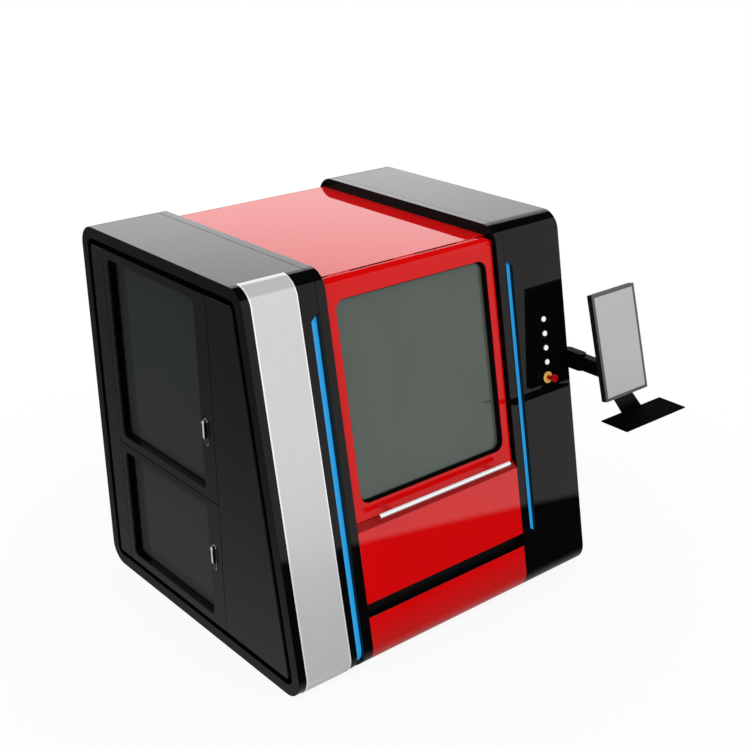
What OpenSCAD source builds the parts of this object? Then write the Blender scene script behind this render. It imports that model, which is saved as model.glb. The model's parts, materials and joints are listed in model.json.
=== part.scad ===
// Enclosed fiber laser cutting machine: two black side cabinets, a red centre section with a
// flip-up front door, a monitor on a jointed arm, and the cutting gear inside.
// Frame: x = 0 on the middle plane, y = 0 at half depth, z = 0 on the floor, +y to the back.

/* [Machine body] */
// Overall width across both side cabinets
machine_w = 1864; // [1780:2:2000]
// Height of the side cabinets
body_h = 1850; // [1800:5:1950]
// Depth at the floor, from the foot of the front slope to the back
body_d = 1690; // [1640:5:1800]
// Backward lean of the front, in degrees
lean = 10.2; // [9:0.1:11]
// Radius of the cabinets' corners, seen from the side
corner_r = 100; // [92:1:115]
// Width of each side cabinet
cab_w = 425; // [424:1:450]
// Thickness of the sheet panels
skin = 3; // [2:0.5:4]
// Width of the separate strip along each cabinet's inner edge
strip_w = 46; // [42:1:47]
// Width of the seam between the strip and the cabinet wrap
seam_gap = 2; // [1:0.5:3]

/* [Side of the cabinets] */
// Width of the rim round each side
rim_w = 55; // [45:1:58]
// Width of the dark groove between the rim and the side panels
groove_w = 30; // [24:1:32]
// Thickness of the side doors
side_door_t = 48; // [44:1:56]
// Depth of the window recess in the side doors
side_recess = 44; // [30:1:44]
// Distance of the side doors' back edge from the cabinet's back
side_door_back = 197; // [185:1:225]
// Distance of the side doors' front edge from the foot of the front slope
side_door_front = 599; // [585:1:615]
// Height of the joint between the upper and lower side doors
side_joint_z = 763; // [740:1:790]
// Gap between the upper and lower side doors
side_joint_gap = 6; // [6:0.5:8]
// Gap between a side door and the fixed panel beside it
side_gap = 3; // [2.5:0.5:5]
// Margin from the side doors' front edge to their windows
side_margin_front = 98; // [90:1:110]
// Margin from the side doors' back edge to their windows
side_margin_back = 41; // [38:1:60]
// Margin above and below the side windows
side_margin_z = 40; // [36:1:48]
// Corner radius of the side windows
side_window_r = 26; // [15:1:40]

/* [Red centre section] */
// Drop of the red top below the cabinet tops
cover_drop = 52; // [44:1:60]
// Radius of the red top's rounded back edge
cover_r = 50; // [40:1:60]
// Setback of the front door behind the front slope
door_setback = 22; // [18:1:28]
// Gap between the front door and the cabinets
door_gap = 5; // [4:0.5:8]
// Depth of the front door
door_depth = 38; // [38:0.5:42]
// Radius of the front door's top edge
door_top_r = 46; // [40:1:46]
// Radius of the front door's side edges
door_edge_r = 10; // [8:1:18]
// Radius of the front door's upper corners, seen from the front
door_corner_r = 40; // [30:1:50]
// Height of the front door's lower edge, along the slope
door_low = 716; // [700:1:730]
// Margin from the door's sides to the window
window_margin = 52; // [50:1:54]
// Margin from the door's lower edge to the window
window_margin_low = 73; // [68:1:90]
// Margin from the sharp top corner of the door to the window
window_margin_top = 96; // [90:1:105]
// Corner radius of the front window
window_r = 50; // [40:1:60]
// Depth of the front window behind the door's face
window_recess = 30; // [24:1:31]
// Height of the lower front panel's bevel, along the slope
bevel_s = 35; // [30:1:40]
// Height of the black pull slot, along the slope
slot_h = 68; // [60:1:72]
// Height of the scrap drawer's front, along the slope
drawer_front_h = 259; // [255:1:268]
// Depth of the pull slot
slot_depth = 50; // [44:1:60]

/* [Silver trim and light strips] */
// Distance of the silver trim from the left side
trim_x = 41; // [36:1:48]
// Width of the silver trim at the top
trim_w_top = 237; // [220:1:245]
// Width of the silver trim at the bottom
trim_w_low = 253; // [240:1:260]
// Thickness of the silver trim
trim_t = 3; // [2:0.5:4]
// Distance of the light groove from the cabinet's outer side
led_x = 331; // [322:1:332]
// Width of the light groove
led_w = 40; // [34:1:40]
// Depth of the light bar in its groove
led_recess = 20; // [14:1:24]
// Thickness of the light bar
led_t = 6; // [4:0.5:8]
// Height of the light groove's tip, along the slope
led_top = 1709; // [1690:1:1720]
// Rise of the slanted end across the groove
led_slant = 31; // [20:1:40]
// Height of the left light's lower end, along the slope
led_low_left = 4; // [0:1:120]
// Height of the right light's lower end, along the slope
led_low_right = 306; // [280:1:330]

/* [Handle and controls] */
// Diameter of the door handle's bar
handle_d = 25; // [22:1:34]
// Length of the door handle's bar
handle_l = 826; // [780:2:860]
// Sideways offset of the bar, towards the right side
handle_x = 8; // [0:1:20]
// Distance from the door's face to the bar's axis
handle_off = 60; // [50:1:75]
// Height of the bar above the door's lower edge, along the slope
handle_s = 19; // [18:1:30]
// Diameter of the handle's posts
post_d = 18; // [14:1:22]
// Distance between the handle's posts
post_pitch = 640; // [560:2:680]
// Distance of the controls from the right side
control_x = 156; // [150:1:165]
// Height of the lowest push button, along the slope
button_s = 1156; // [1140:1:1170]
// Distance between the push buttons
button_pitch = 73; // [68:1:78]
// Diameter of the push button caps
button_d = 26; // [22:1:29]
// Travel of the push buttons
button_travel = 3; // [2:0.5:4]
// Height of the emergency stop, along the slope
stop_s = 1076; // [1060:1:1090]
// Diameter of the emergency stop's yellow ring
stop_ring_d = 58; // [52:1:64]
// Diameter of the emergency stop's red head
stop_head_d = 40; // [36:1:46]
// Travel of the emergency stop
stop_travel = 5; // [4:0.5:6]

/* [Monitor and arm] */
// Width of the monitor
monitor_w = 312; // [290:1:330]
// Height of the monitor
monitor_h = 536; // [500:1:550]
// Thickness of the monitor
monitor_t = 32; // [28:1:38]
// Width of the monitor's bezel
bezel_w = 16; // [12:1:20]
// Backward tilt of the monitor, in degrees
monitor_tilt = 15.3; // [13:0.1:18]
// Distance of the monitor's centre from the right side
monitor_x = 114; // [98:1:148]
// Distance of the centre of the monitor's face before the foot of the front slope
monitor_y = 31; // [21:1:45]
// Height of the monitor's centre
monitor_z = 1243; // [1225:1:1255]
// Height of the arm's middle line
arm_z = 1068; // [1060:1:1075]
// Height of the arm's section
arm_h = 76; // [60:1:84]
// Width of the arm's section
arm_w = 50; // [44:1:56]
// Height of the keyboard tray
tray_z = 912; // [900:1:920]
// Width of the keyboard tray
tray_w = 446; // [400:2:480]
// Depth of the keyboard tray
tray_d = 162; // [140:2:180]
// Thickness of the keyboard tray
tray_t = 5; // [4:0.5:7]

/* [Cutting gear] */
// Height of the slats' points
slat_top = 740; // [725:1:745]
// Height of the slats
slat_h = 60; // [50:1:70]
// Number of slats
slat_n = 18; // [12:1:22]
// Number of points on each slat
slat_teeth = 16; // [10:1:20]
// Thickness of the slats
slat_t = 3; // [2:0.5:4]
// Height of the bed's side beams
beam_h = 160; // [140:1:170]
// Width of the bed's side beams
beam_w = 70; // [60:1:76]
// Height of the top of the bed's side beams
beam_top = 760; // [752:1:775]
// Height of the linear guide rails
rail_h = 18; // [14:1:22]
// Width of the linear guide rails
rail_w = 20; // [15:1:23]
// Distance of the parked gantry from the cabinets' back
gantry_y = 245; // [225:1:275]
// Height of the gantry beam's section
gantry_h = 130; // [110:1:150]
// Depth of the gantry beam's section
gantry_d = 90; // [80:1:110]
// Wall of the gantry beam
gantry_wall = 8; // [6:0.5:10]

/* [Hidden] */
$fn = 64;

black = "#161616";
red = "#c8140f";
steel = "#b9bcc0";

// One overrun serves all cuts, and one clearance each kind of fit
over = 6;
seat = 0.2;
run = 0.05;
free = 0.5;

// The flats of a rounded outline lie this much inside its rounds, so that the two cross cleanly
tuck = 0.02;

half_w = machine_w / 2;
inner_x = half_w - cab_w;
wrap_w = cab_w - strip_w - seam_gap;
seam_lip = wrap_w - led_x - led_w - skin - free;
rim_lip = 40;
panel_inset = rim_w + groove_w;
cover_z = body_h - cover_drop;
cover_flange = 100;
rear_top = cover_z - cover_r - cover_flange;

// Points of the front slope: d is the depth behind it, s the height along it
function slope_y(d, s) = -body_d / 2 + s * sin(lean) + d * cos(lean);
function slope_z(d, s) = s * cos(lean) - d * sin(lean);
function front_y(z) = -body_d / 2 + z * tan(lean);

// Centres of the four rounded corners of a cabinet, seen from the side
corner_fb = [front_y(corner_r) + corner_r / cos(lean), corner_r];
corner_bb = [body_d / 2 - corner_r, corner_r];
corner_bt = [body_d / 2 - corner_r, body_h - corner_r];
corner_ft = [front_y(body_h - corner_r) + corner_r / cos(lean), body_h - corner_r];
slope_out = [-cos(lean), sin(lean)];

// Front door section
door_half = inner_x - door_gap;
door_back = door_setback + door_depth;
door_key = [front_y(cover_z) + door_setback / cos(lean), cover_z];
door_run = door_top_r * tan((90 - lean) / 2);
door_face_end = [door_key.x - door_run * sin(lean), door_key.y - door_run * cos(lean)];
door_top_end = [door_key.x + door_run, cover_z];
door_arc = [door_top_end.x, cover_z - door_top_r];
door_top_s = (cover_z + door_setback * sin(lean)) / cos(lean);

// Hinge along the door's top seam
hinge_r = 5;
hinge_pin_r = 2.5;
hinge_groove = 14;
hinge_l = 60;
hinge_leaf_t = 4;
hinge_leaf_d = 40;
hinge_edge = 122;
hinge_pitch = door_half - hinge_edge;
hinge_places = [-hinge_pitch, 0, hinge_pitch];
hinge_y = door_top_end.x + hinge_groove / 2;
hinge_z = cover_z - hinge_r;
seam_y = door_top_end.x + hinge_groove;

window_half = door_half - window_margin;
window_low = door_low + window_margin_low;
window_high = door_top_s - window_margin_top;
window_trim_t = 2.5;
window_t = 5;

bevel_low = door_low - side_gap - bevel_s;
panel_low = drawer_front_h + slot_h;
panel_fold = 40;

// Gas struts: the stud on the door and the pivot on the wall, seen from the side
strut_in = 19;
strut_x = inner_x - strut_in;
strut_r = 9;
strut_rod_r = 5;
strut_eye_w = 12;
strut_eye_r = 11;
bolt_head_t = 6;
strut_len = 290;
strut_bore_low = 40;
strut_stud_d = 14;
strut_stud_s = 200;
strut_pivot_y = 25;
strut_pivot_z = 520;
stud_block_w = 24;
stud_block_s = 30;
hinge_d = (hinge_y - front_y(hinge_z)) * cos(lean);
hinge_s = (hinge_z + hinge_d * sin(lean)) / cos(lean);
stud_d = hinge_d + strut_stud_d;
stud_s = hinge_s - strut_stud_s;
stud_at = [slope_y(stud_d, stud_s), slope_z(stud_d, stud_s)];
strut_at = [hinge_y + strut_pivot_y, hinge_z - strut_pivot_z];
strut_l = norm(stud_at - strut_at);
strut_turn = atan2(strut_at.x - stud_at.x, stud_at.y - strut_at.y);

// Side doors, their frame, pivots and latches
side_rear_y = body_d / 2 - side_door_back;
side_front_y = -body_d / 2 + side_door_front;
side_x = half_w - side_door_t - side_gap;
side_frame_t = 4;
side_frame_lap = 25;
upper_low = side_joint_z + side_joint_gap / 2;
upper_high = body_h - panel_inset;
lower_low = panel_inset;
lower_high = side_joint_z - side_joint_gap / 2;
pivot_in = 6;
pivot_back = 14;
pivot_r = 4;
pivot_l = 18;
pivot_plate_t = 4;
pivot_plate_w = 28;
latch_w = 30;
latch_h = 132;
latch_t = 4;
latch_share = 0.6;
latch_y = side_front_y + side_margin_front * latch_share;
latch_upper_z = 1110;
latch_lower_z = 466;
spindle_r = 7;
spindle_drop = 16;
lever_w = 20;
lever_h = 90;
lever_t = 10;
lock_r = 8;
lock_t = 4;
cam_l = 26;
cam_t = 4;

// Controls in the front of the right cabinet
button_n = 4;
bezel_r = 18;
bezel_t = 3;
bezel_wall = 1.4;
bezel_depth = 16;
cap_rest = 2;
cap_out = button_travel + cap_rest;
cap_in = 20;
stop_stem_r = 11;
stop_plate_t = 4;
stop_rest = 25;
stop_out = stop_plate_t + stop_travel + stop_rest;
stop_head_t = 20;
stop_edge_r = 5;

// Monitor arm, from the wall bracket to the monitor
screen_x = half_w + monitor_x;
screen_y = -body_d / 2 - monitor_y;
arm_root_in = 365;
arm_elbow_in = 215;
arm_end_in = 45;
arm_root = [screen_x, -body_d / 2 + arm_root_in];
arm_elbow = [screen_x, -body_d / 2 + arm_elbow_in];
arm_end = [screen_x, -body_d / 2 + arm_end_in];
arm_fork_share = 0.45;
arm_pin_r = 10;
arm_lug_t = 8;
arm_plate_w = 120;
arm_plate_h = 170;
arm_plate_t = 8;
arm_lift = arm_h / 2 + arm_lug_t;
yoke_w = 124;
yoke_low = 976;
yoke_front = 14;
yoke_back = 18;
tilt_pin_r = 6;
lug_reach = 46;
tilt_y = screen_y + (arm_z - monitor_z) * tan(monitor_tilt) + monitor_t / cos(monitor_tilt) + lug_reach;
lug_t = 8;
lug_h = 44;
back_plate_w = 150;
back_plate_h = 110;
back_plate_t = 10;
screen_t = 2;
screen_sink = 0.6;
monitor_r = 6;
neck_t = 6;
neck_w_top = 124;
neck_w_low = 138;
tray_gap = 28;

// Cutting gear
tube = 60;
tube_wall = 4;
bed_setback = 305;
bed_gap = 125;
bed_front = -body_d / 2 + bed_setback;
bed_back = body_d / 2 - bed_gap;
gantry_mid_y = body_d / 2 - gantry_y;
ledge_w = 16;
ledge_h = 20;
slat_share = 0.35;
tooth_shares = [[0.5, 1], [1, 0]];
slat_half = inner_x - beam_w - seat;
rail_x = inner_x - beam_w / 2;
track_w = 14;
track_h = 8;
carriage_w = 44;
carriage_l = 110;
carriage_h = 26;
x_rail_h = 12;
x_rail_w = 16;
x_rail_shares = [0.2, 0.8];
plate_w = 150;
plate_h = 190;
plate_t = 14;
slide_t = 12;
head_w = 64;
head_h = 190;
head_d = 56;
nozzle_h = 46;
nozzle_r = 18;
nozzle_tip_r = 4;
head_gap = 50;
drawer_side = 22;
drawer_half = inner_x - beam_w - drawer_side;
drawer_wall = 2;
runner_w = 12;
runner_h = 6;
runner_slip = 0.3;
drawer_low = tube + runner_h + runner_slip;
drawer_high = 215;
drawer_gap = 365;
drawer_setback = 105;
drawer_back = body_d / 2 - drawer_gap;
drawer_face_y = -body_d / 2 + drawer_setback;
collar_r = 75;
collar_l = 60;
collar_flange = 20;
collar_drop = 348;
collar_z = rear_top - collar_drop;
vent_l = 300;
vent_h = 12;
vent_pitch = 34;
vent_n = 9;
vent_mid = 75;
vent_edge = 132;
source_handle_share = 0.9;
fan_shares = [0.6, 1.4];
rack_gap = 42;
gear_w = 126;
gear_w_small = 84;
gear_h = 126;
gear_t = 84;
gear_pitch = 168;
gear_rise = 210;

// Rounded outline of a cabinet seen from the side, moved inwards by inset
module body_profile(inset) {
    r = corner_r - inset;
    flat = r - tuck;
    polygon([corner_fb + flat * slope_out, corner_fb + [0, -flat], corner_bb + [0, -flat],
        corner_bb + [flat, 0], corner_bt + [flat, 0], corner_bt + [0, flat], corner_ft + [0, flat],
        corner_ft + flat * slope_out]);
    for (c = [corner_fb, corner_bb, corner_bt, corner_ft]) translate(c) circle(r);
}

// Stretch a side view along x, from x0 to x1
module along_x(x0, x1) {
    translate([x0, 0, 0]) rotate([90, 0, 90]) linear_extrude(x1 - x0) children();
}

// Frame of the front slope: x, depth behind it, height along it
module on_front() {
    translate([0, -body_d / 2, 0]) rotate([-lean, 0, 0]) children();
}

// Stretch a front view through the depth, from d0 to d1
module front_sheet(d0, d1) {
    translate([0, d1, 0]) rotate([90, 0, 0]) linear_extrude(d1 - d0) children();
}

// Box between two corners
module box(low, high) {
    translate(low) cube(high - low);
}

// Rectangle between two corners with rounded corners
module round_rect(low, high, r) {
    translate(low + [r, 0]) square(high - low - [2 * r, 0]);
    translate(low + [0, r]) square(high - low - [0, 2 * r]);
    for (x = [low.x + r, high.x - r], y = [low.y + r, high.y - r]) translate([x, y]) circle(r);
}

// Round bar along x
module x_bar(x0, x1, r) {
    translate([x0, 0, 0]) rotate([0, 90, 0]) cylinder(r = r, h = x1 - x0);
}

// Round bar along the depth, from d0 to d1
module d_bar(d0, d1, r) {
    translate([0, d1, 0]) rotate([90, 0, 0]) cylinder(r = r, h = d1 - d0);
}

// Light groove with its slanted end, on the left cabinet
module led_window(low, d0, d1, grow) {
    x0 = -half_w + led_x - grow;
    x1 = x0 + led_w + 2 * grow;
    on_front() front_sheet(d0, d1)
        polygon([[x0, low - grow], [x1, low + led_slant - grow], [x1, led_top + grow],
            [x0, led_top - led_slant + grow]]);
}

// Cabinet wrap of the left side: front, top, back and floor in one band, with its rim
module cabinet_wrap(led_low) {
    groove_d = led_recess + led_t;
    difference() {
        union() {
            difference() {
                along_x(-half_w, -half_w + wrap_w) body_profile(0);
                along_x(-half_w + skin, -half_w + wrap_w + over) body_profile(skin);
                along_x(-half_w - over, -half_w + skin + over) body_profile(rim_w);
            }
            difference() {
                along_x(-half_w, -half_w + rim_lip) body_profile(rim_w - skin);
                along_x(-half_w - over, -half_w + rim_lip + over) body_profile(rim_w);
            }
            intersection() {
                difference() {
                    along_x(-half_w + led_x - skin, -half_w + led_x + led_w + skin) body_profile(skin / 2);
                    along_x(-half_w, -half_w + wrap_w) body_profile(groove_d);
                }
                led_window(led_low, 0, corner_r + skin, skin);
            }
        }
        intersection() {
            along_x(-half_w + led_x, -half_w + led_x + led_w) difference() {
                body_profile(-over);
                body_profile(groove_d + over);
            }
            led_window(led_low, -over, corner_r, 0);
        }
    }
}

// Light bar at the bottom of its groove
module led_bar(led_low) {
    intersection() {
        along_x(-half_w + led_x, -half_w + led_x + led_w) difference() {
            body_profile(led_recess);
            body_profile(led_recess + led_t);
        }
        led_window(led_low, 0, corner_r, 0);
    }
}

// Wall between a cabinet and the work space, with the strip folded round its edge and the bolt
// that the gas strut turns on
module inner_panel() {
    pivot_end = strut_x - strut_eye_w / 2 - free;
    edge = -inner_x - strip_w;
    lip = edge - seam_gap - seam_lip;
    wall = -inner_x - skin;
    difference() {
        along_x(edge, -inner_x) body_profile(0);
        along_x(edge - over, wall) body_profile(skin);
        translate([0, strut_at.x, strut_at.y]) x_bar(wall - over, -inner_x + over, strut_rod_r + run);
    }
    difference() {
        along_x(lip, wall) body_profile(skin);
        along_x(lip - over, wall + over) body_profile(2 * skin);
    }
    translate([0, strut_at.x, strut_at.y]) {
        x_bar(wall - run - bolt_head_t, -pivot_end, strut_rod_r);
        x_bar(wall - run - bolt_head_t, wall - run, strut_eye_r);
    }
}

// Frame behind the side panels, with an opening for each door
module side_frame() {
    clear_y = side_rear_y - side_front_y - 2 * side_frame_lap;
    along_x(-side_x, -side_x + side_frame_t) difference() {
        body_profile(skin);
        for (z = [[lower_low, lower_high], [upper_low, upper_high]])
            translate([side_front_y + side_frame_lap, z[0] + side_frame_lap])
                square([clear_y, z[1] - z[0] - 2 * side_frame_lap]);
    }
}

// Folded pan that fills part of the side, between the depth positions y0 and y1
module side_pan(y0, y1) {
    depth = side_door_t + side_gap;
    difference() {
        along_x(-half_w, -half_w + depth) intersection() {
            body_profile(panel_inset);
            translate([y0, 0]) square([y1 - y0, body_h]);
        }
        along_x(-half_w + skin, -half_w + depth + over) intersection() {
            body_profile(panel_inset + skin);
            translate([y0 + skin, 0]) square([y1 - y0 - 2 * skin, body_h]);
        }
    }
}

// Outline of a side door's window
module side_window_outline(low, high, inset) {
    round_rect([side_front_y + side_margin_front + inset, low + side_margin_z + inset],
        [side_rear_y - side_margin_back - inset, high - side_margin_z - inset], side_window_r - inset);
}

// Side door: a folded pan with a deep window recess and a solid hinge stile
module side_door(low, high, latch_z) {
    pivot = [-half_w + pivot_in, side_rear_y - pivot_back];
    difference() {
        box([-half_w, side_front_y, low], [-half_w + side_door_t, side_rear_y, high]);
        along_x(-half_w + skin, -half_w + side_door_t + over) difference() {
            translate([side_front_y + skin, low + skin])
                square([side_rear_y - side_front_y - skin - side_margin_back, high - low - 2 * skin]);
            side_window_outline(low, high, -skin);
        }
        along_x(-half_w - over, -half_w + side_door_t + over) side_window_outline(low, high, 0);
        for (z = [low - over, high - pivot_l - free])
            translate([pivot.x, pivot.y, z]) cylinder(r = pivot_r + run, h = pivot_l + free + over);
        translate([0, latch_y, latch_z + latch_h / 2 - spindle_drop])
            x_bar(-half_w - over, -half_w + side_door_t, spindle_r + run);
    }
}

// Dark glass of a side door
module side_window(low, high) {
    along_x(-half_w + side_recess, -half_w + side_door_t) side_window_outline(low, high, seat);
}

// Back plate of a side door's swing handle
module latch_plate(z) {
    difference() {
        along_x(-half_w - latch_t, -half_w) round_rect([latch_y - latch_w / 2, z - latch_h / 2],
            [latch_y + latch_w / 2, z + latch_h / 2], latch_w / 2 - seat);
        translate([0, latch_y, z + latch_h / 2 - spindle_drop])
            x_bar(-half_w - latch_t - over, -half_w + over, spindle_r + run);
    }
}

// Swing handle with its lock barrel, spindle and cam
module latch_lever(z) {
    x0 = -half_w - latch_t - free - lever_t;
    top = z + latch_h / 2 - spindle_drop + lever_w / 2;
    cam_x = -half_w + side_door_t / 2;
    along_x(x0, x0 + lever_t) round_rect([latch_y - lever_w / 2, top - lever_h],
        [latch_y + lever_w / 2, top], lever_w / 2 - seat);
    translate([0, latch_y, top - lever_w / 2]) {
        x_bar(x0 - lock_t, x0 + seat, lock_r);
        x_bar(x0 + lever_t - seat, cam_x + cam_t, spindle_r);
    }
    box([cam_x, latch_y - lever_w / 2, top - lever_w / 2 - cam_l],
        [cam_x + cam_t, latch_y + lever_w / 2, top - lever_w / 2]);
}

// Section of the front door, seen from the side
module door_section() {
    difference() {
        polygon([[slope_y(door_setback, door_low), slope_z(door_setback, door_low)], door_key, door_top_end,
            [slope_y(door_back, hinge_s - hinge_leaf_d), slope_z(door_back, hinge_s - hinge_leaf_d)],
            [slope_y(door_back, door_low), slope_z(door_back, door_low)]]);
        difference() {
            polygon([door_face_end, door_key + over * [-1, 1], door_top_end]);
            translate(door_arc) circle(door_top_r);
        }
    }
}

// Front view of the window, inset from its opening
module window_outline(inset) {
    round_rect([-window_half + inset, window_low + inset], [window_half - inset, window_high - inset],
        window_r - inset);
}

// One knuckle of the door's hinges
module knuckle(x, l) {
    translate([0, hinge_y, hinge_z]) x_bar(x - l / 2, x + l / 2, hinge_r);
}

// Controls are set in the slope of the right cabinet
module at_control(s) {
    on_front() translate([half_w - control_x, 0, s]) children();
}

// Box beam with a hollow section along x
module hollow_x(low, high, wall) {
    difference() {
        box(low, high);
        box([low.x - over, low.y + wall, low.z + wall], [high.x + over, high.y - wall, high.z - wall]);
    }
}

// Box beam with a hollow section along y
module hollow_y(low, high, wall) {
    difference() {
        box(low, high);
        box([low.x + wall, low.y - over, low.z + wall], [high.x - wall, high.y + over, high.z - wall]);
    }
}

// Rectangular tubes under the machine
module base_frame() {
    color("#2b2d30") {
        for (y = [bed_front, -tube / 2, bed_back - tube])
            hollow_x([-inner_x, y, 0], [inner_x, y + tube, tube], tube_wall);
        for (side = [-1, 1], y = [[bed_front + tube, -tube / 2], [tube / 2, bed_back - tube]]) {
            x = side * (inner_x - beam_w / 2);
            hollow_y([x - tube / 2, y[0], 0], [x + tube / 2, y[1], tube], tube_wall);
        }
        for (side = [-1, 1])
            box([side * drawer_half - runner_w, bed_front, tube],
                [side * drawer_half + runner_w, bed_back, tube + runner_h]);
    }
}

module left_wrap() {
    color(black) cabinet_wrap(led_low_left);
}

module right_wrap() {
    color(black) difference() {
        mirror([1, 0, 0]) cabinet_wrap(led_low_right);
        for (i = [0:button_n - 1]) at_control(button_s + i * button_pitch)
            d_bar(-over, skin + over, button_d / 2 + 2 * run + bezel_wall);
        at_control(stop_s) d_bar(-over, skin + over, stop_stem_r + 2 * run + bezel_wall);
    }
}

module left_inner_panel() {
    color(black) inner_panel();
}

module right_inner_panel() {
    color(black) mirror([1, 0, 0]) inner_panel();
}

module left_side_frame() {
    color("#0c0c0c") side_frame();
}

module right_side_frame() {
    color("#0c0c0c") mirror([1, 0, 0]) side_frame();
}

module left_side_panels() {
    color("#242424") {
        side_pan(-body_d / 2, side_front_y - side_gap);
        side_pan(side_rear_y + side_gap, body_d / 2);
    }
}

module right_side_panel() {
    color("#242424") difference() {
        mirror([1, 0, 0]) side_pan(-body_d / 2, body_d / 2);
        for (i = [0:vent_n - 1])
            along_x(half_w - skin - over, half_w + over)
                translate([0, panel_inset + vent_l / 2 + i * vent_pitch])
                    round_rect([-vent_l / 2, 0], [vent_l / 2, vent_h], vent_h / 2 - seat);
    }
}

// Silver sheet that wraps over the front of the left cabinet, a little wider at the bottom
module silver_trim() {
    x0 = -half_w + trim_x;
    trim_top_s = body_h / cos(lean);
    color("#c9cbcc") intersection() {
        along_x(x0, x0 + max(trim_w_top, trim_w_low)) difference() {
            body_profile(-trim_t);
            body_profile(0);
        }
        along_x(-half_w, -half_w + cab_w)
            polygon([[-body_d / 2 - over, 2 * trim_t], [corner_fb.x, 2 * trim_t],
                [corner_ft.x, body_h + over], [-body_d / 2 - over, body_h + over]]);
        on_front() front_sheet(-over, 2 * corner_r)
            polygon([[x0, 0], [x0 + trim_w_low, 0], [x0 + trim_w_top, trim_top_s],
                [x0 + trim_w_top, trim_top_s + corner_r], [x0, trim_top_s + corner_r]]);
    }
}

module left_led() {
    color("#2196dc") led_bar(led_low_left);
}

module right_led() {
    color("#2196dc") mirror([1, 0, 0]) led_bar(led_low_right);
}

// Red top with its rounded back edge
module top_cover() {
    back = body_d / 2;
    color(red) along_x(-inner_x, inner_x) {
        translate([seam_y, cover_z - skin]) square([back - cover_r - seam_y, skin]);
        translate([back - cover_r, cover_z - cover_r]) intersection() {
            difference() {
                circle(cover_r);
                circle(cover_r - skin);
            }
            square(cover_r + over);
        }
        translate([back - skin, rear_top]) square([skin, cover_flange]);
    }
}

// Flat back with the exhaust hole and two rows of vents
module rear_panel() {
    back = body_d / 2;
    color(black) difference() {
        box([-inner_x, back - skin, 0], [inner_x, back, rear_top]);
        translate([0, 0, collar_z]) d_bar(back - skin - over, back + over, collar_r - skin);
        for (i = [0:vent_n - 1], side = [0, 1])
            mirror([side, 0, 0]) front_sheet(back - skin - over, back + over)
                translate([0, tube + vent_l + i * vent_pitch])
                    round_rect([vent_mid, 0], [inner_x - vent_edge, vent_h], vent_h / 2 - seat);
    }
}

// Round spigot for the fume duct
module exhaust_collar() {
    back = body_d / 2;
    color(steel) translate([0, 0, collar_z]) difference() {
        union() {
            d_bar(back, back + skin, collar_r + collar_flange);
            d_bar(back, back + collar_l, collar_r);
        }
        d_bar(back - over, back + collar_l + over, collar_r - skin);
    }
}

// Red panel between the door and the pull slot, folded from one sheet with a bevelled top
module lower_front_panel() {
    top = door_low - side_gap;
    half = inner_x - seat;
    color(red) on_front() translate([-half, 0, 0]) rotate([90, 0, 90]) linear_extrude(2 * half)
        polygon([[0, panel_low], [0, bevel_low], [door_setback, top], [door_setback + panel_fold, top],
            [door_setback + panel_fold, top - skin], [door_setback + skin / 2, top - skin],
            [skin, bevel_low - skin / 4], [skin, panel_low + skin], [panel_fold, panel_low + skin],
            [panel_fold, panel_low]]);
}

// Black channel behind the pull slot
module pull_recess() {
    half = inner_x - seat;
    color("#0a0a0a") on_front() translate([-half, 0, 0]) rotate([90, 0, 90]) linear_extrude(2 * half)
        polygon([[2 * skin, panel_low], [2 * skin, panel_low - skin], [slot_depth, panel_low - skin],
            [slot_depth, drawer_front_h - slot_h / 3], [slot_depth + skin, drawer_front_h - slot_h / 3],
            [slot_depth + skin, panel_low]]);
}

// Welded bed: two side beams on posts, joined by cross beams, with ledges for the slats
module machine_bed() {
    low = beam_top - beam_h;
    color("#4a4d50") {
        for (side = [0, 1]) mirror([side, 0, 0]) {
            hollow_y([inner_x - beam_w, bed_front, low], [inner_x, bed_back, beam_top], tube_wall);
            for (y = [bed_front, bed_back - beam_w])
                box([inner_x - beam_w, y, tube], [inner_x, y + beam_w, low]);
            box([inner_x - beam_w - ledge_w, bed_front + tube + ledge_w, slat_top - slat_h - ledge_h],
                [inner_x - beam_w, bed_back - tube - ledge_w, slat_top - slat_h]);
        }
        for (y = [bed_front, bed_back - tube])
            hollow_x([-inner_x + beam_w, y, low], [inner_x - beam_w, y + tube, low + tube], tube_wall);
    }
}

// Toothed support slats across the bed
module slats() {
    pitch = (bed_back - bed_front - 3 * tube) / (slat_n - 1);
    tooth = 2 * slat_half / slat_teeth;
    low = slat_top - slat_h;
    notch = slat_top - slat_h * slat_share;
    color("#6b6f73") for (i = [0:slat_n - 1])
        translate([0, bed_front + 3 * tube / 2 + i * pitch, 0]) front_sheet(-slat_t / 2, slat_t / 2)
            polygon(concat([[slat_half, low], [-slat_half, low], [-slat_half, notch]],
                [for (k = [0:slat_teeth - 1], point = tooth_shares)
                    [-slat_half + (k + point.x) * tooth, notch + point.y * (slat_top - notch)]]));
}

// Guide rails and magnet tracks of the long axis
module y_rails() {
    color(steel) for (side = [0, 1]) mirror([side, 0, 0]) {
        box([rail_x - rail_w / 2, bed_front, beam_top],
            [rail_x + rail_w / 2, bed_back, beam_top + rail_h]);
        box([inner_x - beam_w, bed_front, beam_top],
            [inner_x - beam_w + track_w, bed_back, beam_top + track_h]);
    }
}

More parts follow.
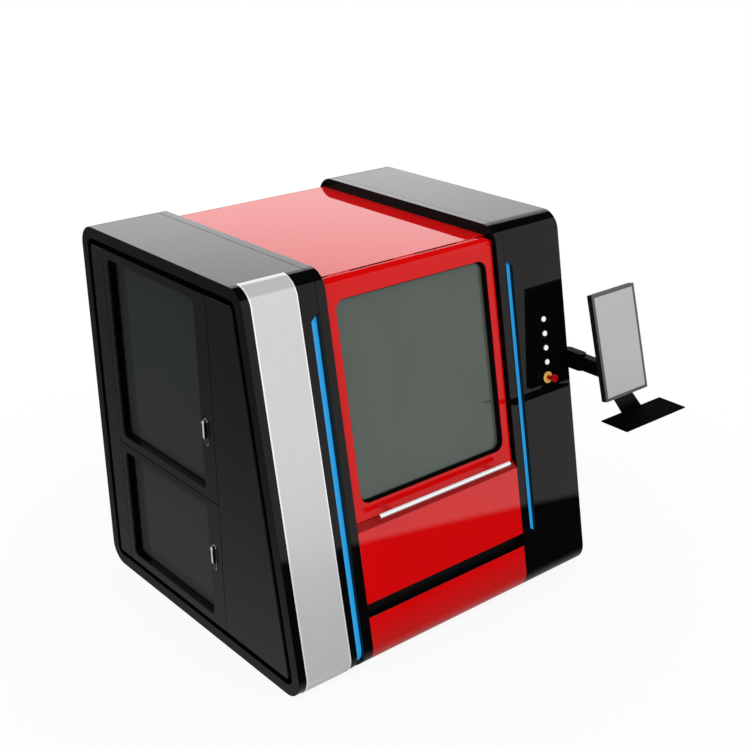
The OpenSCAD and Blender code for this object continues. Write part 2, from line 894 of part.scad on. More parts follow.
// Fixed halves of the door's hinges, under the cover's front edge, with their pins
module door_hinges() {
    outer = hinge_l / 2 + free + hinge_l / 4;
    color(red) for (x = hinge_places) {
        difference() {
            union() {
                for (side = [-1, 1]) knuckle(x + side * outer, hinge_l / 2);
                for (side = [-1, 1])
                    box([x + side * outer - hinge_l / 4, hinge_y, cover_z - skin - hinge_leaf_t],
                        [x + side * outer + hinge_l / 4, seam_y + hinge_leaf_d, cover_z - skin]);
                box([x - hinge_l, seam_y, cover_z - skin - hinge_leaf_t],
                    [x + hinge_l, seam_y + hinge_leaf_d, cover_z - skin]);
            }
            translate([0, hinge_y, hinge_z]) x_bar(x - hinge_l - over, x + hinge_l + over, hinge_pin_r);
        }
        translate([0, hinge_y, hinge_z]) x_bar(x - hinge_l - free, x + hinge_l + free, hinge_pin_r);
    }
}

// Laser source in the left cabinet's lower room
module laser_source() {
    w = wrap_w - rim_lip - 2 * rack_gap;
    x0 = -half_w + side_door_t + 2 * rim_w - rack_gap;
    low = skin + seat;
    handle_z = vent_l * source_handle_share;
    color("#3a4046") {
        difference() {
            box([x0, -vent_l / 2, low], [x0 + w, vent_l, low + vent_l]);
            for (i = [1:vent_n - 2])
                box([x0 - over, -vent_l / 3, vent_pitch * i],
                    [x0 + skin, vent_l / 3, vent_pitch * i + vent_h]);
        }
        for (y = [-vent_l / 4, vent_l / 2])
            box([x0 - vent_h, y, handle_z], [x0, y + vent_pitch, handle_z + vent_h]);
    }
}

// Water chiller in the right cabinet
module chiller() {
    w = wrap_w - rim_lip - 2 * rack_gap;
    x0 = inner_x + strip_w + seam_gap + seam_lip + skin;
    low = skin + seat;
    fan = vent_l / 3;
    color("#d8d9d6") difference() {
        box([x0, -vent_l / 2, low], [x0 + w, vent_l, low + 2 * vent_l]);
        for (share = fan_shares)
            translate([x0 + w, vent_l / 4, share * vent_l]) x_bar(-vent_h, over, fan);
    }
}

// Control gear on its mounting plate in the left cabinet's upper room
module control_rack() {
    x1 = -inner_x - skin;
    x0 = x1 - rack_gap;
    low = [side_front_y + rack_gap, upper_low + rack_gap];
    high = [side_rear_y - rack_gap, upper_high - rack_gap];
    cols = floor((high.x - low.x) / gear_pitch);
    rows = floor((high.y - low.y) / gear_rise);
    color("#c4c6c3") {
        box([x0 - skin, low.x, low.y], [x0, high.x, high.y]);
        for (y = [low.x + rack_gap, high.x - rack_gap], z = [low.y + rack_gap, high.y - rack_gap])
            translate([0, y, z]) x_bar(x0, x1, lock_r);
        for (row = [0:rows - 1], col = [0:cols - 1])
            translate([x0 - skin - gear_t, low.x + rack_gap + col * gear_pitch,
                    low.y + rack_gap + row * gear_rise])
                cube([gear_t, row % 2 == 0 ? gear_w : gear_w_small, gear_h]);
    }
}

// Black rings round the push buttons
module button_bezels() {
    r = button_d / 2 + run;
    color("#2a2a2a") for (i = [0:button_n - 1]) at_control(button_s + i * button_pitch) difference() {
        union() {
            d_bar(-bezel_t, 0, bezel_r);
            d_bar(-bezel_t, bezel_depth, r + bezel_wall);
        }
        d_bar(-bezel_t - over, bezel_depth + over, r);
    }
}

module button_cap(i) {
    color("#f4f4f2") at_control(button_s + i * button_pitch)
        d_bar(-bezel_t - cap_out, cap_in - cap_out, button_d / 2);
}

module button_1() {
    button_cap(3);
}

module button_2() {
    button_cap(2);
}

module button_3() {
    button_cap(1);
}

module button_4() {
    button_cap(0);
}

// Yellow ring of the emergency stop
module stop_ring() {
    r = stop_stem_r + run;
    color("#f2c500") at_control(stop_s) difference() {
        union() {
            d_bar(-stop_plate_t, 0, stop_ring_d / 2);
            d_bar(-stop_plate_t, bezel_depth, r + bezel_wall);
        }
        d_bar(-stop_plate_t - over, bezel_depth + over, r);
    }
}

// Red mushroom head of the emergency stop on its stem
module stop_head() {
    r = stop_head_d / 2;
    color("#c01414") at_control(stop_s) {
        d_bar(-stop_out, cap_in, stop_stem_r);
        translate([0, -stop_out, 0]) rotate([90, 0, 0]) rotate_extrude() {
            square([r - stop_edge_r, stop_head_t]);
            translate([0, stop_edge_r]) square([r, stop_head_t - 2 * stop_edge_r]);
            for (z = [stop_edge_r, stop_head_t - stop_edge_r])
                translate([r - stop_edge_r, z]) circle(stop_edge_r);
        }
    }
}

// Pivots of the side doors, on tabs that reach out from the side frame
module side_door_pivots() {
    x = -half_w + pivot_in;
    y = side_rear_y - pivot_back;
    high = upper_high + 2 * free;
    low = lower_low - 2 * free - pivot_plate_t;
    color("#202020") {
        for (z = [high, side_joint_z - pivot_plate_t / 2, low])
            box([x - pivot_r, y - pivot_plate_w / 2, z],
                [-side_x, y + pivot_plate_w / 2 - side_gap, z + pivot_plate_t]);
        for (z = [[upper_high - pivot_l, high + pivot_plate_t], [lower_high - pivot_l, side_joint_z],
                [side_joint_z, upper_low + pivot_l], [low, lower_low + pivot_l]])
            translate([x, y, z[0]]) cylinder(r = pivot_r, h = z[1] - z[0]);
    }
}

// Flip-up front door: a folded pan with rounded edges and the window's opening
module front_door() {
    stud_x = strut_x - strut_eye_w / 2 - 2 * free;
    pocket_top = (door_face_end.y - over) / cos(lean);
    edge_x = door_half - door_edge_r;
    edge_d = door_setback + door_edge_r;
    block_x = window_half + skin;
    color(red) difference() {
        union() {
            difference() {
                intersection() {
                    along_x(-door_half, door_half) door_section();
                    on_front() linear_extrude(body_h + corner_r) {
                        translate([-door_half, edge_d]) square([2 * door_half, door_depth + corner_r]);
                        translate([-edge_x, door_setback]) square([2 * edge_x, door_depth]);
                        for (side = [-1, 1]) translate([side * edge_x, edge_d]) circle(door_edge_r);
                    }
                    on_front() front_sheet(0, door_back + corner_r) {
                        translate([-door_half, door_low - over]) square([2 * door_half, door_corner_r * 2]);
                        round_rect([-door_half, door_low], [door_half, door_top_s + over], door_corner_r);
                    }
                }
                on_front() front_sheet(door_setback + skin, door_back + 2 * over) difference() {
                    translate([-door_half + skin, door_low + skin])
                        square([2 * door_half - 2 * skin, pocket_top - door_low - skin]);
                    window_outline(-skin);
                }
                on_front() front_sheet(0, door_back + over) window_outline(0);
            }
            for (x = hinge_places) {
                knuckle(x, hinge_l);
                box([x - hinge_l / 2, door_top_end.x - 2 * hinge_r, hinge_z - hinge_r],
                    [x + hinge_l / 2, hinge_y, hinge_z]);
            }
            for (side = [0, 1]) mirror([side, 0, 0]) on_front() {
                box([block_x, door_setback + skin, stud_s - stud_block_s / 2],
                    [block_x + stud_block_w, stud_d + stud_block_s / 2, stud_s + stud_block_s / 2]);
                translate([0, stud_d, stud_s]) x_bar(block_x + stud_block_w, stud_x, strut_rod_r);
            }
        }
        for (x = hinge_places)
            translate([0, hinge_y, hinge_z]) x_bar(x - hinge_l, x + hinge_l, hinge_pin_r + run);
    }
}

// Black lining of the window's opening
module door_window_trim() {
    color("#0d0d0d") on_front() front_sheet(door_setback + skin, door_back) difference() {
        window_outline(0);
        window_outline(window_trim_t);
    }
}

// Tinted glass of the front door
module door_window() {
    face = door_setback + window_recess;
    color("#5e645e") on_front() front_sheet(face, face + window_t) window_outline(window_trim_t + seat);
}

// Bright bar across the foot of the door, on two posts
module door_handle() {
    color("#e8e9ea") on_front() translate([handle_x, door_setback - handle_off, door_low + handle_s]) {
        x_bar(-handle_l / 2, handle_l / 2, handle_d / 2);
        for (side = [-1, 1]) translate([side * post_pitch / 2, 0, 0])
            d_bar(0, handle_off, post_d / 2);
    }
}

// A gas strut lies along its own line: the tube turns on the wall, the rod reaches the door
module along_strut() {
    translate([-strut_x, strut_at.x, strut_at.y]) rotate([strut_turn, 0, 0]) children();
}

module strut_tube() {
    color("#1b1b1b") along_strut() difference() {
        union() {
            x_bar(-strut_eye_w / 2, strut_eye_w / 2, strut_eye_r);
            cylinder(r = strut_r, h = strut_len);
        }
        x_bar(-strut_eye_w, strut_eye_w, strut_rod_r + run);
        translate([0, 0, strut_bore_low]) cylinder(r = strut_rod_r + run, h = strut_len);
    }
}

module strut_rod() {
    color("#d4d6d8") along_strut() difference() {
        union() {
            translate([0, 0, strut_bore_low + over])
                cylinder(r = strut_rod_r, h = strut_l - strut_bore_low - over);
            translate([0, 0, strut_l]) x_bar(-strut_eye_w / 2, strut_eye_w / 2, strut_eye_r);
        }
        translate([0, 0, strut_l]) x_bar(-strut_eye_w, strut_eye_w, strut_rod_r + seat);
    }
}

module left_strut_tube() {
    strut_tube();
}

module left_strut_rod() {
    strut_rod();
}

module right_strut_tube() {
    mirror([1, 0, 0]) strut_tube();
}

module right_strut_rod() {
    mirror([1, 0, 0]) strut_rod();
}

module upper_side_door() {
    color("#262626") side_door(upper_low, upper_high, latch_upper_z);
}

module upper_side_window() {
    color("#343734") side_window(upper_low, upper_high);
}

module upper_latch_plate() {
    color("#c8cacc") latch_plate(latch_upper_z);
}

module upper_latch_lever() {
    color("#d8dadc") latch_lever(latch_upper_z);
}

module lower_side_door() {
    color("#262626") side_door(lower_low, lower_high, latch_lower_z);
}

module lower_side_window() {
    color("#343734") side_window(lower_low, lower_high);
}

module lower_latch_plate() {
    color("#c8cacc") latch_plate(latch_lower_z);
}

module lower_latch_lever() {
    color("#d8dadc") latch_lever(latch_lower_z);
}

// Open scrap tray on its runners, with two brackets that hold its front
module scrap_drawer() {
    color("#8a8d90") {
        difference() {
            box([-drawer_half, drawer_face_y, drawer_low], [drawer_half, drawer_back, drawer_high]);
            box([-drawer_half + drawer_wall, drawer_face_y + drawer_wall, drawer_low + drawer_wall],
                [drawer_half - drawer_wall, drawer_back - drawer_wall, drawer_high + over]);
        }
        for (x = [-drawer_half / 2, drawer_half / 2]) along_x(x - tube / 2, x + tube / 2) intersection() {
            body_profile(skin);
            translate([-body_d / 2, drawer_low + tube]) square([drawer_setback + drawer_wall / 2, tube]);
        }
    }
}

// Red front of the scrap drawer, rounded under like the cabinets
module drawer_front() {
    half = inner_x - 2 * free;
    color(red) intersection() {
        along_x(-half, half) difference() {
            body_profile(0);
            body_profile(skin);
        }
        on_front() front_sheet(-over, corner_r) translate([-half, -corner_r])
            square([2 * half, drawer_front_h + corner_r]);
        along_x(-half, half) translate([-body_d / 2, 3 * skin])
            square([corner_fb.x + body_d / 2, drawer_front_h]);
    }
}

// Gantry: a hollow beam on two carriages, with the cross axis rails on its face
module gantry_beam() {
    low = beam_top + rail_h + free;
    y0 = gantry_mid_y - gantry_d / 2;
    end = rail_x + carriage_w / 2;
    beam_low = low + carriage_h;
    color("#c2c5c8") {
        for (side = [-1, 1]) translate([side * rail_x, gantry_mid_y, 0]) difference() {
            box([-carriage_w / 2, -carriage_l / 2, beam_top + track_h + free],
                [carriage_w / 2, carriage_l / 2, low + carriage_h]);
            box([-rail_w / 2 - free, -carriage_l, beam_top], [rail_w / 2 + free, carriage_l, low]);
        }
        hollow_x([-end, y0, beam_low], [end, y0 + gantry_d, beam_low + gantry_h], gantry_wall);
        for (share = x_rail_shares)
            box([-end, y0 - x_rail_h, beam_low + share * gantry_h - x_rail_w / 2],
                [end, y0, beam_low + share * gantry_h + x_rail_w / 2]);
    }
}

// Cross axis carriage with the guide of the lifting slide
module x_carriage() {
    beam_low = beam_top + rail_h + free + carriage_h;
    mid = beam_low + gantry_h / 2;
    y1 = gantry_mid_y - gantry_d / 2 - x_rail_h;
    color("#2f3134") {
        difference() {
            box([-plate_w / 2, y1 - plate_t, mid - plate_h / 2],
                [plate_w / 2, y1 + x_rail_h - free, mid + plate_h / 2]);
            for (share = x_rail_shares)
                box([-plate_w, y1 - free, beam_low + share * gantry_h - x_rail_w / 2 - free],
                    [plate_w, y1 + 2 * x_rail_h, beam_low + share * gantry_h + x_rail_w / 2 + free]);
        }
        for (side = [-1, 1])
            box([side * plate_w / 3 - x_rail_h / 2, y1 - plate_t - slide_t, mid - plate_h / 2],
                [side * plate_w / 3 + x_rail_h / 2, y1 - plate_t, mid + plate_h / 2]);
    }
}

// Cutting head on its lifting slide, with a tapered nozzle
module cutting_head() {
    mid = beam_top + rail_h + free + carriage_h + gantry_h / 2;
    y1 = gantry_mid_y - gantry_d / 2 - x_rail_h - plate_t - free;
    low = slat_top + head_gap + nozzle_h;
    guide = plate_w / 3 - x_rail_h / 2 - free;
    color("#d6d8da") {
        box([-guide, y1 - slide_t, mid - plate_h / 3], [guide, y1, mid + plate_h / 3]);
        box([-head_w / 2, y1 - slide_t - head_d, low], [head_w / 2, y1 - slide_t, low + head_h]);
        translate([0, y1 - slide_t - head_d / 2, low - nozzle_h])
            cylinder(r1 = nozzle_tip_r, r2 = nozzle_r, h = nozzle_h);
        translate([0, y1 - slide_t - head_d / 2, low + head_h]) cylinder(r = nozzle_r, h = nozzle_h);
    }
}

// Straight arm section between two upright pivots, with round ends
module arm_bar(a, b, r, z0, z1) {
    run_xy = b - a;
    translate([a.x, a.y, z0]) rotate(atan2(run_xy.y, run_xy.x)) linear_extrude(z1 - z0) {
        translate([0, -r]) square([norm(run_xy), 2 * r]);
        circle(r);
        translate([norm(run_xy), 0]) circle(r);
    }
}

// Upright pin or bore at a pivot of the arm
module arm_post(a, r, z0, z1) {
    translate([a.x, a.y, z0]) cylinder(r = r, h = z1 - z0);
}

// Wall bracket with two lugs and the first pivot's pin
module arm_bracket() {
    r = arm_w / 2;
    wall = half_w + arm_plate_t;
    color("#1a1a1a") {
        box([half_w, arm_root.y - arm_plate_w / 2, arm_z - arm_plate_h / 2],
            [wall, arm_root.y + arm_plate_w / 2, arm_z + arm_plate_h / 2]);
        for (z = [arm_z - arm_lift, arm_z + arm_lift - arm_lug_t]) {
            box([wall, arm_root.y - r, z], [arm_root.x, arm_root.y + r, z + arm_lug_t]);
            arm_post(arm_root, r, z, z + arm_lug_t);
        }
        arm_post(arm_root, arm_pin_r, arm_z - arm_lift, arm_z + arm_lift);
    }
}

// First arm section, with its fork at the elbow
module arm_link() {
    r = arm_w / 2;
    inner = arm_h / 2 - free;
    fork = arm_root + (arm_elbow - arm_root) * arm_fork_share;
    body_end = arm_elbow + [0, arm_w];
    color("#1a1a1a") difference() {
        union() {
            arm_bar(arm_root, body_end, r, arm_z - inner, arm_z + inner);
            for (z = [-arm_lift, arm_lift - arm_lug_t])
                arm_bar(fork, arm_elbow, r, arm_z + z, arm_z + z + arm_lug_t);
            arm_bar(fork, body_end, r, arm_z - arm_lift, arm_z + arm_lift);
            arm_post(arm_elbow, arm_pin_r, arm_z - arm_lift, arm_z + arm_lift);
        }
        arm_post(arm_root, arm_pin_r + run, arm_z - arm_h, arm_z + arm_h);
    }
}

// Second arm section, from the elbow to the monitor's swivel
module arm_forearm() {
    r = arm_w / 2 - 2 * free;
    inner = arm_h / 2 - free;
    color("#1f1f1f") difference() {
        arm_bar(arm_elbow, arm_end, r, arm_z - inner, arm_z + inner);
        arm_post(arm_elbow, arm_pin_r + run, arm_z - arm_h, arm_z + arm_h);
        arm_post(arm_end, arm_pin_r + run, arm_z - arm_h, arm_z + arm_h);
    }
}

// Swivel head between the arm and the monitor
module monitor_yoke() {
    color("#1a1a1a") difference() {
        union() {
            for (z = [-arm_lift, arm_lift - arm_lug_t])
                arm_bar([screen_x, tilt_y], arm_end, arm_w / 2, arm_z + z, arm_z + z + arm_lug_t);
            arm_post(arm_end, arm_pin_r, arm_z - arm_lift, arm_z + arm_lift);
            box([screen_x - yoke_w / 2, tilt_y - yoke_front, yoke_low],
                [screen_x + yoke_w / 2, tilt_y + yoke_back, arm_z + arm_lift]);
        }
        box([screen_x - yoke_w, tilt_y - body_d, yoke_low - over],
            [screen_x + yoke_w, tilt_y - yoke_front, body_h]);
        translate([0, tilt_y, arm_z]) x_bar(screen_x - yoke_w, screen_x + yoke_w, tilt_pin_r + run);
    }
}

// The monitor's own frame: its face looks along -y, its centre is the face's centre
module at_monitor() {
    translate([screen_x, screen_y, monitor_z]) rotate([-monitor_tilt, 0, 0]) children();
}

// Monitor housing with its back plate, tilt lugs and tilt pin
module monitor_housing() {
    w = monitor_w / 2;
    h = monitor_h / 2;
    lug_x = yoke_w / 2 + free;
    drop = (arm_z - monitor_z) / cos(monitor_tilt);
    color("#2b2b2b") {
        difference() {
            at_monitor() front_sheet(0, monitor_t) round_rect([-w, -h], [w, h], monitor_r);
            at_monitor() front_sheet(-over, screen_t + screen_sink)
                square([2 * w - 2 * bezel_w, 2 * h - 2 * bezel_w], center = true);
        }
        difference() {
            union() {
                at_monitor() box([-back_plate_w / 2, monitor_t, drop - back_plate_h / 2],
                    [back_plate_w / 2, monitor_t + back_plate_t, drop + back_plate_h / 2]);
                for (side = [-1, 1]) translate([screen_x + side * (lug_x + lug_t / 2), 0, 0])
                    along_x(-lug_t / 2, lug_t / 2) {
                        translate([tilt_y, arm_z]) circle(lug_h / 2);
                        translate([tilt_y - lug_reach, arm_z - lug_h / 2]) square([lug_reach, lug_h]);
                    }
            }
            translate([0, tilt_y, arm_z]) x_bar(screen_x - yoke_w, screen_x + yoke_w, tilt_pin_r);
        }
        translate([0, tilt_y, arm_z]) x_bar(screen_x - lug_x - lug_t, screen_x + lug_x + lug_t, tilt_pin_r);
    }
}

module monitor_screen() {
    color("#b8b9ba") at_monitor() front_sheet(screen_sink, screen_sink + screen_t)
        square([monitor_w - 2 * bezel_w - seat, monitor_h - 2 * bezel_w - seat], center = true);
}

// Keyboard tray on a bent, flared neck that runs up behind the monitor
module keyboard_tray() {
    foot = monitor_h / 2 + neck_t;
    drop = (arm_z - monitor_z) / cos(monitor_tilt);
    bend = foot - neck_t;
    bend_y = screen_y - bend * sin(monitor_tilt) + monitor_t * cos(monitor_tilt);
    bend_z = monitor_z - bend * cos(monitor_tilt) - monitor_t * sin(monitor_tilt);
    tray_back = screen_y - monitor_h / 2 * sin(monitor_tilt) - tray_gap;
    color("#141414") {
        box([screen_x - tray_w / 2, tray_back - tray_d, tray_z],
            [screen_x + tray_w / 2, tray_back, tray_z + tray_t]);
        translate([screen_x, 0, 0]) along_x(-neck_w_low / 2, neck_w_low / 2)
            polygon([[tray_back - 2 * neck_t, tray_z + tray_t], [tray_back, tray_z],
                [bend_y + neck_t * cos(monitor_tilt), bend_z - neck_t * sin(monitor_tilt)],
                [bend_y, bend_z]]);
        at_monitor() box([-neck_w_top / 2, monitor_t, -foot],
            [neck_w_top / 2, monitor_t + neck_t, drop - back_plate_h / 2]);
    }
}

base_frame();
left_wrap();
right_wrap();
left_inner_panel();
right_inner_panel();
left_side_frame();
right_side_frame();
left_side_panels();
right_side_panel();
silver_trim();
left_led();
right_led();
top_cover();
rear_panel();
exhaust_collar();
lower_front_panel();
pull_recess();
machine_bed();
slats();
y_rails();
door_hinges();
laser_source();
chiller();
control_rack();
button_bezels();
stop_ring();
arm_bracket();
side_door_pivots();
front_door();
door_window_trim();
door_window();
door_handle();
left_strut_tube();
left_strut_rod();
right_strut_tube();
right_strut_rod();
upper_side_door();
upper_side_window();
upper_latch_plate();
upper_latch_lever();
lower_side_door();
lower_side_window();
lower_latch_plate();
lower_latch_lever();
scrap_drawer();
drawer_front();
gantry_beam();
x_carriage();
cutting_head();
button_1();
button_2();
button_3();
button_4();
stop_head();
arm_link();
arm_forearm();
monitor_yoke();
monitor_housing();
monitor_screen();
keyboard_tray();
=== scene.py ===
import json
from math import radians, sin, cos, sqrt, pi

import bmesh
import bpy
import numpy as np
from mathutils import Matrix, Vector


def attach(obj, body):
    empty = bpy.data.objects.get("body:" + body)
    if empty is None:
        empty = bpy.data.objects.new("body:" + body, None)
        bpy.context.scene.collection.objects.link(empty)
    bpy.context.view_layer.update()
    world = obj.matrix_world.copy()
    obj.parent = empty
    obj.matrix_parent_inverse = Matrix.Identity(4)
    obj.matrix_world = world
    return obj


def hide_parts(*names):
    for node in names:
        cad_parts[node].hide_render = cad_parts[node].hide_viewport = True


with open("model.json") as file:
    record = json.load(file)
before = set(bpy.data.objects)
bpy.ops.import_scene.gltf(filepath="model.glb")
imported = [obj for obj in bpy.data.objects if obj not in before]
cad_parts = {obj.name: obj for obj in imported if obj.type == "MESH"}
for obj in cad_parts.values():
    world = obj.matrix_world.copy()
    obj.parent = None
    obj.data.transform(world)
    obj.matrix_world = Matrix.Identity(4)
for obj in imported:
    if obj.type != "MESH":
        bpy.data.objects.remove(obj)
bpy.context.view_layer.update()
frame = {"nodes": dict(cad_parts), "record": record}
scene = bpy.context.scene
scene.view_settings.view_transform = "Standard"
bodyOf = {node: body for body, members in frame["record"]["behaviour"]["bodies"].items() for node in members}
slotOf = {part["node"]: part["material_slot"] for part in frame["record"]["subparts"]}
print("frame loaded:", len(frame["nodes"]), "nodes")


# A socket that reads like a number: sums on it add Math nodes to its tree
class Wire:
    def __init__(self, tree, socket):
        self.tree, self.socket = tree, socket

    # any node: its type, its settings, which are set first, then values or links of its sockets
    def node(self, kind, settings=None, sockets=None, out=0):
        made = self.tree.nodes.new("ShaderNode" + kind)
        for key, value in (settings or {}).items():
            setattr(made, key, value)
        for key, value in (sockets or {}).items():
            if isinstance(value, Wire):
                self.tree.links.new(value.socket, made.inputs[key])
            else:
                made.inputs[key].default_value = value
        return Wire(self.tree, made.outputs[out])

    def sum(self, operation, a, b=0.0):
        return self.node("Math", {"operation": operation}, {0: a, 1: b})

    def __add__(self, other): return self.sum("ADD", self, other)
    def __radd__(self, other): return self.sum("ADD", other, self)
    def __sub__(self, other): return self.sum("SUBTRACT", self, other)
    def __rsub__(self, other): return self.sum("SUBTRACT", other, self)
    def __mul__(self, other): return self.sum("MULTIPLY", self, other)
    def __rmul__(self, other): return self.sum("MULTIPLY", other, self)

    def above(self, level): return self.sum("GREATER_THAN", self, level)
    def between(self, low, high): return self.above(low) * (1 - self.above(high))
    def least(self, other): return self.sum("MINIMUM", self, other)
    def most(self, other): return self.sum("MAXIMUM", self, other)
    def size(self): return self.sum("ABSOLUTE", self)
    def wave(self): return self.sum("SINE", self)

    # one axis of a point
    def along(self, axis):
        return self.node("SeparateXYZ", None, {0: self}, axis)

    # smooth step from 0 at low to 1 at high
    def ease(self, low, high):
        return self.node("MapRange", {"interpolation_type": "SMOOTHSTEP"},
                         {"Value": self, "From Min": low, "From Max": high})

    # colour between two tones, this wire being the share of the second
    def tone(self, first, second):
        first, second = (end if isinstance(end, Wire) else (*end, 1) for end in (first, second))
        return self.node("Mix", {"data_type": "RGBA"}, {0: self, 6: first, 7: second}, 2)

    # fine noise on stretched object coordinates, 0 to 1
    def grain(self, scale, detail, stretch=(1, 1, 1)):
        place = self.node("Mapping", None, {"Vector": self, "Scale": stretch})
        return self.node("TexNoise", None, {"Vector": place, "Scale": scale, "Detail": detail}, "Fac")

    def bump(self, strength, distance):
        return self.node("Bump", None, {"Height": self, "Strength": strength, "Distance": distance}, "Normal")


# A finish: constants go on the shader's own sockets, look() gives what varies over the surface
def finish(name, constants, look):
    made = bpy.data.materials.new(name)
    made.use_nodes = True
    tree = made.node_tree
    shader = tree.nodes["Principled BSDF"]
    for key, value in constants.items():
        shader.inputs[key].default_value = value
    where = Wire(tree, tree.nodes.new("ShaderNodeTexCoord").outputs["Object"])
    for key, wire in look(where).items():
        tree.links.new(wire.socket, shader.inputs[key])
    return made


# Tint towards a pale grey near the floor: none above the top height, most at the floor. On the side panels and
# their glass it is painted light, standing in for light bounced up from the floor; on the red and the silver it
# makes them greyer and darker towards the foot
floorTintSet = {"tone": (0.05, 0.052, 0.05), "top": 1.7}


def floorTinted(at, shade, share, top=floorTintSet["top"]):
    low = 1 - at.along("Z").ease(0.0, top)
    return (low * share).tone(shade, floorTintSet["tone"])


# Powder coat: slight cloudiness, orange peel and a little dust that dulls the gloss; noises are scale and detail
paintSet = {
    "cloud": (2.3, 4), "dustAndFloorTint": (270, 5), "dustFrom": (0.58, 0.75), "skin": (420, 2), "skinDepth": 0.0004,
    "cloudShare": 0.7, "dustShare": 0.3, "coatRough": 0.004,
}


# detail() adds what one coat has of its own
def paint(name, deep, pale, rough, spread, gloss, peel=0.05, dull=0.06, detail=None):
    def look(at):
        s = paintSet
        cloud, skin = at.grain(*s["cloud"]), at.grain(*s["skin"])
        dustAndFloorTint = at.grain(*s["dustAndFloorTint"]).ease(*s["dustFrom"])
        made = {
            "Base Color": (cloud * s["cloudShare"] + dustAndFloorTint * s["dustShare"]).tone(deep, pale),
            "Roughness": cloud * spread + dustAndFloorTint * dull + rough,
            "Normal": skin.bump(peel, s["skinDepth"]),
        }
        if detail:
            made.update(detail(at, made["Base Color"]))
        return made
    return finish(name, {"Specular IOR Level": gloss, "Coat Roughness": paintSet["coatRough"]}, look)


# Red: painted shade in the joint below the door, a dark band under the handle; greyer and darker towards the foot;
# a clear coat on the lower front panel; heights in metres
redSet = {
    "rough": 0.004, "spread": 0.01,
    "joint": (0.667, 0.699), "jointShade": (0.31, 0.0005, 0.001), "dull": 0.5,
    "dustAndFloorTint": 0.3, "footTop": 0.28,
    "coat": (0.3, 0.667), "clear": 0.5,
}


def redDetail(at, shade):
    s = redSet
    z = at.along("Z")
    joint = z.between(*s["joint"])
    return {
        # painted shade: the joint band below the door goes dark red; towards the foot the red gets greyer and
        # darker
        "Base Color": floorTinted(at, joint.tone(shade, s["jointShade"]), s["dustAndFloorTint"], s["footTop"]),
        "Roughness": joint * s["dull"] + at.grain(*paintSet["cloud"]) * s["spread"] + s["rough"],
        "Coat Weight": z.between(*s["coat"]) * s["clear"],
    }


# Side panels: painted light towards the floor, a paler grey that stands in for light bounced up from it, and
# painted shade in the window reveals, which stay dark inside the outer face
sideSet = {"dustAndFloorTint": 0.22, "revealShade": (0.920, 0.927), "dark": (0.0005, 0.0005, 0.0005)}


def sideDetail(at, shade):
    s = sideSet
    # painted shade: inside the outer face, in the window reveals, the paint goes near black
    outer = at.along("X").size().ease(*s["revealShade"])
    # painted light: the floor tint makes the side panels paler towards the floor
    return {"Base Color": outer.tone(s["dark"], floorTinted(at, shade, s["dustAndFloorTint"]))}


# Arm and tray: behind y the arm's black has some gloss; the tray's neck has painted light, a paler black from low
# to high
traySet = {
    "y": -0.89, "arm": (0.003, 0.003, 0.003), "gloss": 0.1,
    "neck": (0.93, 0.985), "pale": (0.026, 0.026, 0.026),
}


def trayDetail(at, shade):
    s = traySet
    arm = at.along("Y").above(s["y"])
    # painted light: the neck gets paler upwards
    neck = at.along("Z").ease(*s["neck"]) * (1 - arm)
    return {
        "Base Color": neck.tone(arm.tone(shade, s["arm"]), s["pale"]),
        "Coat Weight": arm * s["gloss"],
    }


# The cabinets' inner walls mirror less than the wraps; from x outwards their strips have a clear coat
innerSet = {"x": 0.5075, "clear": 0.36}


def innerDetail(at, shade):
    return {"Coat Weight": at.along("X").size().above(innerSet["x"]) * innerSet["clear"]}


# Silver trim: brushed down its length, with a polished hem along both edges that carries a painted highlight, a
# near-white band, from x0 and to the slanted edge x1, given at z = 0 and per metre of height
glintHemSet = {
    "x0": -0.891, "x1": (-0.638, -0.0085), "width": 0.0065, "glintTone": (0.97, 0.97, 0.97), "polish": 0.6,
    "streak": (60, 4, (1, 1, 0.02)), "streakShare": 0.6, "streakRough": 0.05, "streakBump": (0.03, 0.0004),
    "cloud": (3, 3), "cloudShare": 0.4, "cloudRough": 0.03, "dustAndFloorTint": 0.06,
}


def glintHemmed(name, deep, pale, rough, metal):
    def look(at):
        s = glintHemSet
        x, slant = at.along("X"), at.along("Z") * s["x1"][1]
        streak, cloud = at.grain(*s["streak"]), at.grain(*s["cloud"])
        hemGlint = (1 - x.above(s["x0"] + s["width"])).most(x.above(slant + (s["x1"][0] - s["width"])))
        sheet = (streak * s["streakShare"] + cloud * s["cloudShare"]).tone(deep, pale)
        dull = streak * s["streakRough"] + cloud * s["cloudRough"] + rough
        return {
            # painted highlight: a near-white band along both edges of the trim
            "Base Color": floorTinted(at, hemGlint.tone(sheet, s["glintTone"]), s["dustAndFloorTint"]),
            "Roughness": dull * (1 - hemGlint * s["polish"]),
            "Normal": streak.bump(*s["streakBump"]),
        }
    return finish(name, {"Metallic": metal}, look)


# Metal with fine lines along one axis
brushSet = {
    "streak": (60, 4), "streakShare": 0.6, "streakRough": 0.16, "streakBump": (0.06, 0.0004),
    "cloud": (3, 3), "cloudShare": 0.4, "cloudRough": 0.08,
}


def brushed(name, deep, pale, rough, lines):
    def look(at):
        s = brushSet
        streak, cloud = at.grain(*s["streak"], lines), at.grain(*s["cloud"])
        return {
            "Base Color": (streak * s["streakShare"] + cloud * s["cloudShare"]).tone(deep, pale),
            "Roughness": streak * s["streakRough"] + cloud * s["cloudRough"] + rough,
            "Normal": streak.bump(*s["streakBump"]),
        }
    return finish(name, {"Metallic": 1.0}, look)


